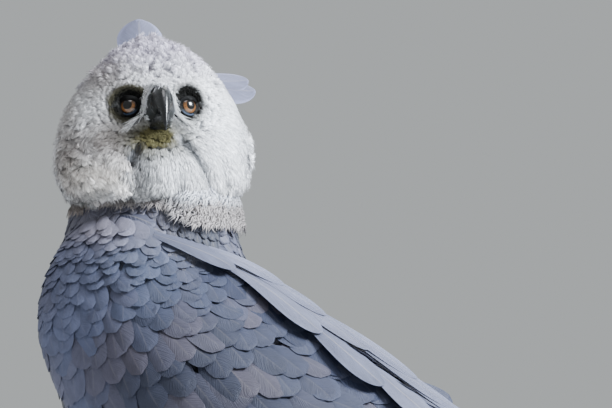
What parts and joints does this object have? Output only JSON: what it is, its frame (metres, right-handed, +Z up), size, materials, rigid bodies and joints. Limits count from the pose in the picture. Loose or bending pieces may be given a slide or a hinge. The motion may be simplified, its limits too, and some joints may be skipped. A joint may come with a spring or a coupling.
{
  "type": "harpy eagle",
  "caption": "Life-size harpy eagle standing on both feet, wings folded, head turned over its left shoulder with crest and face ruff spread.",
  "frame": {"origin": "on the floor, under the middle of the whole bird's bounding box", "axes": "+Y from breast to tail tip, +X out of the bird's left side, +Z up"},
  "size_m": [0.289, 0.8958, 0.7148],
  "materials": {
    "plumage_slate": "matt feathers, slate grey",
    "plumage_pale": "matt downy feathers, pale grey",
    "plumage_dark": "matt feathers, dark slate",
    "horn": "glossy dark horn",
    "skin": "scaly yellow skin",
    "eye": "wet and glossy, brown iris"
  },
  "bodies": {
    "root": {"torso": "plumage_slate", "neck": "plumage_dark", "head": "plumage_pale", "crest_left": "plumage_slate", "crest_right": "plumage_slate", "cere": "horn", "bill_upper": "horn", "bill_lower": "horn", "eye_left": "eye", "eye_right": "eye", "wing_left": "plumage_slate", "wing_right": "plumage_slate", "tail": "plumage_slate", "thigh_left": "plumage_pale", "tarsus_left": "skin", "foot_left": "skin", "toe_left_inner": "skin", "claw_left_inner": "horn", "toe_left_middle": "skin", "claw_left_middle": "horn", "toe_left_outer": "skin", "claw_left_outer": "horn", "toe_left_hind": "skin", "claw_left_hind": "horn", "thigh_right": "plumage_pale", "tarsus_right": "skin", "foot_right": "skin", "toe_right_inner": "skin", "claw_right_inner": "horn", "toe_right_middle": "skin", "claw_right_middle": "horn", "toe_right_outer": "skin", "claw_right_outer": "horn", "toe_right_hind": "skin", "claw_right_hind": "horn"}
  },
  "joints": []
}
